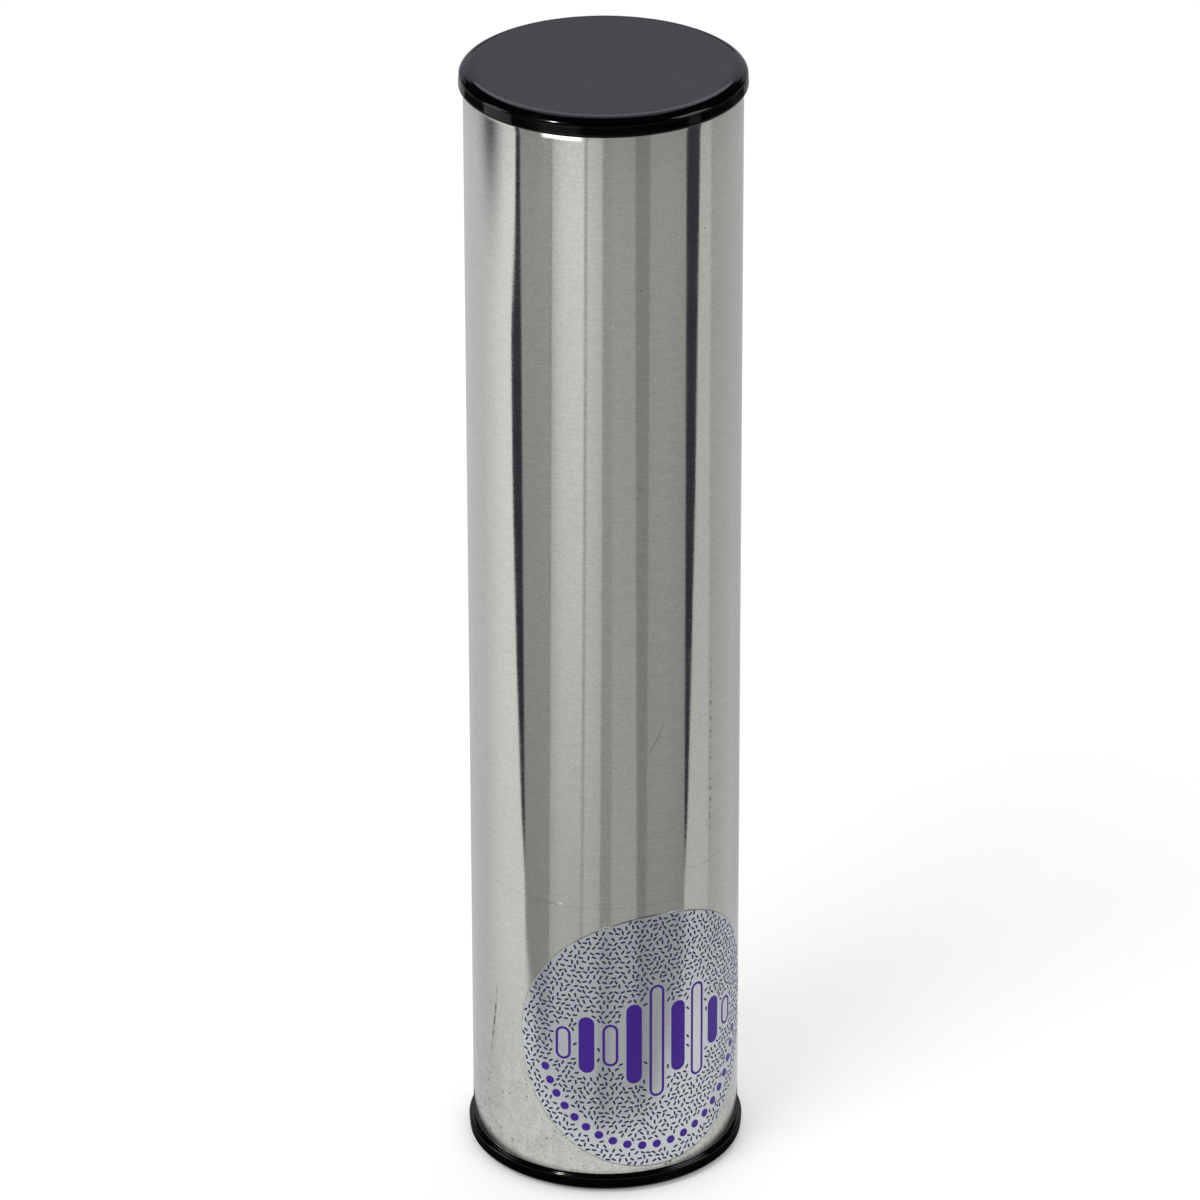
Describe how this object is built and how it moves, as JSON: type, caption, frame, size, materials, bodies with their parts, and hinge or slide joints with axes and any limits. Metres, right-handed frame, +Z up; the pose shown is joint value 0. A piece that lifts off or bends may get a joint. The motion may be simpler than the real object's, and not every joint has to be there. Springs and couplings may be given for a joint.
{
  "type": "percussion shaker",
  "caption": "Straight tubular hand shaker: a thin metal tube with rounded push-in end caps, a round film label near one end and loose shot inside.",
  "frame": {"origin": "centre of the bottom cap's flat outer face, which the shaker stands on", "axes": "+Z up along the tube to the top cap; -Y points out of the side with the label"},
  "size_m": [0.0526, 0.0526, 0.22],
  "materials": {
    "tube_metal": "drawn, semi-bright, with a fine grain",
    "cap_plastic": "moulded, glossy rim and a satin face",
    "label_film": "silvery film printed in violet",
    "shot_steel": "polished"
  },
  "bodies": {
    "shell": {"tube": "tube_metal", "bottom_cap": "cap_plastic", "top_cap": "cap_plastic", "label": "label_film"},
    "shot": {"shot_01": "shot_steel", "shot_02": "shot_steel", "shot_03": "shot_steel", "shot_04": "shot_steel", "shot_05": "shot_steel", "shot_06": "shot_steel", "shot_07": "shot_steel", "shot_08": "shot_steel", "shot_09": "shot_steel", "shot_10": "shot_steel", "shot_11": "shot_steel", "shot_12": "shot_steel", "shot_13": "shot_steel", "shot_14": "shot_steel", "shot_15": "shot_steel", "shot_16": "shot_steel", "shot_17": "shot_steel", "shot_18": "shot_steel", "shot_19": "shot_steel", "shot_20": "shot_steel", "shot_21": "shot_steel", "shot_22": "shot_steel", "shot_23": "shot_steel", "shot_24": "shot_steel", "shot_25": "shot_steel", "shot_26": "shot_steel", "shot_27": "shot_steel", "shot_28": "shot_steel", "shot_29": "shot_steel", "shot_30": "shot_steel", "shot_31": "shot_steel", "shot_32": "shot_steel", "shot_33": "shot_steel", "shot_34": "shot_steel", "shot_35": "shot_steel", "shot_36": "shot_steel", "shot_37": "shot_steel", "shot_38": "shot_steel", "shot_39": "shot_steel", "shot_40": "shot_steel", "shot_41": "shot_steel", "shot_42": "shot_steel", "shot_43": "shot_steel", "shot_44": "shot_steel", "shot_45": "shot_steel", "shot_46": "shot_steel", "shot_47": "shot_steel", "shot_48": "shot_steel", "shot_49": "shot_steel", "shot_50": "shot_steel", "shot_51": "shot_steel", "shot_52": "shot_steel", "shot_53": "shot_steel", "shot_54": "shot_steel", "shot_55": "shot_steel"}
  },
  "joints": [
    {"name": "shot_travel", "type": "slide", "parent": "shell", "child": "shot", "axis": [0, 0, 1], "range_m": [0, 0.2042]}
  ]
}
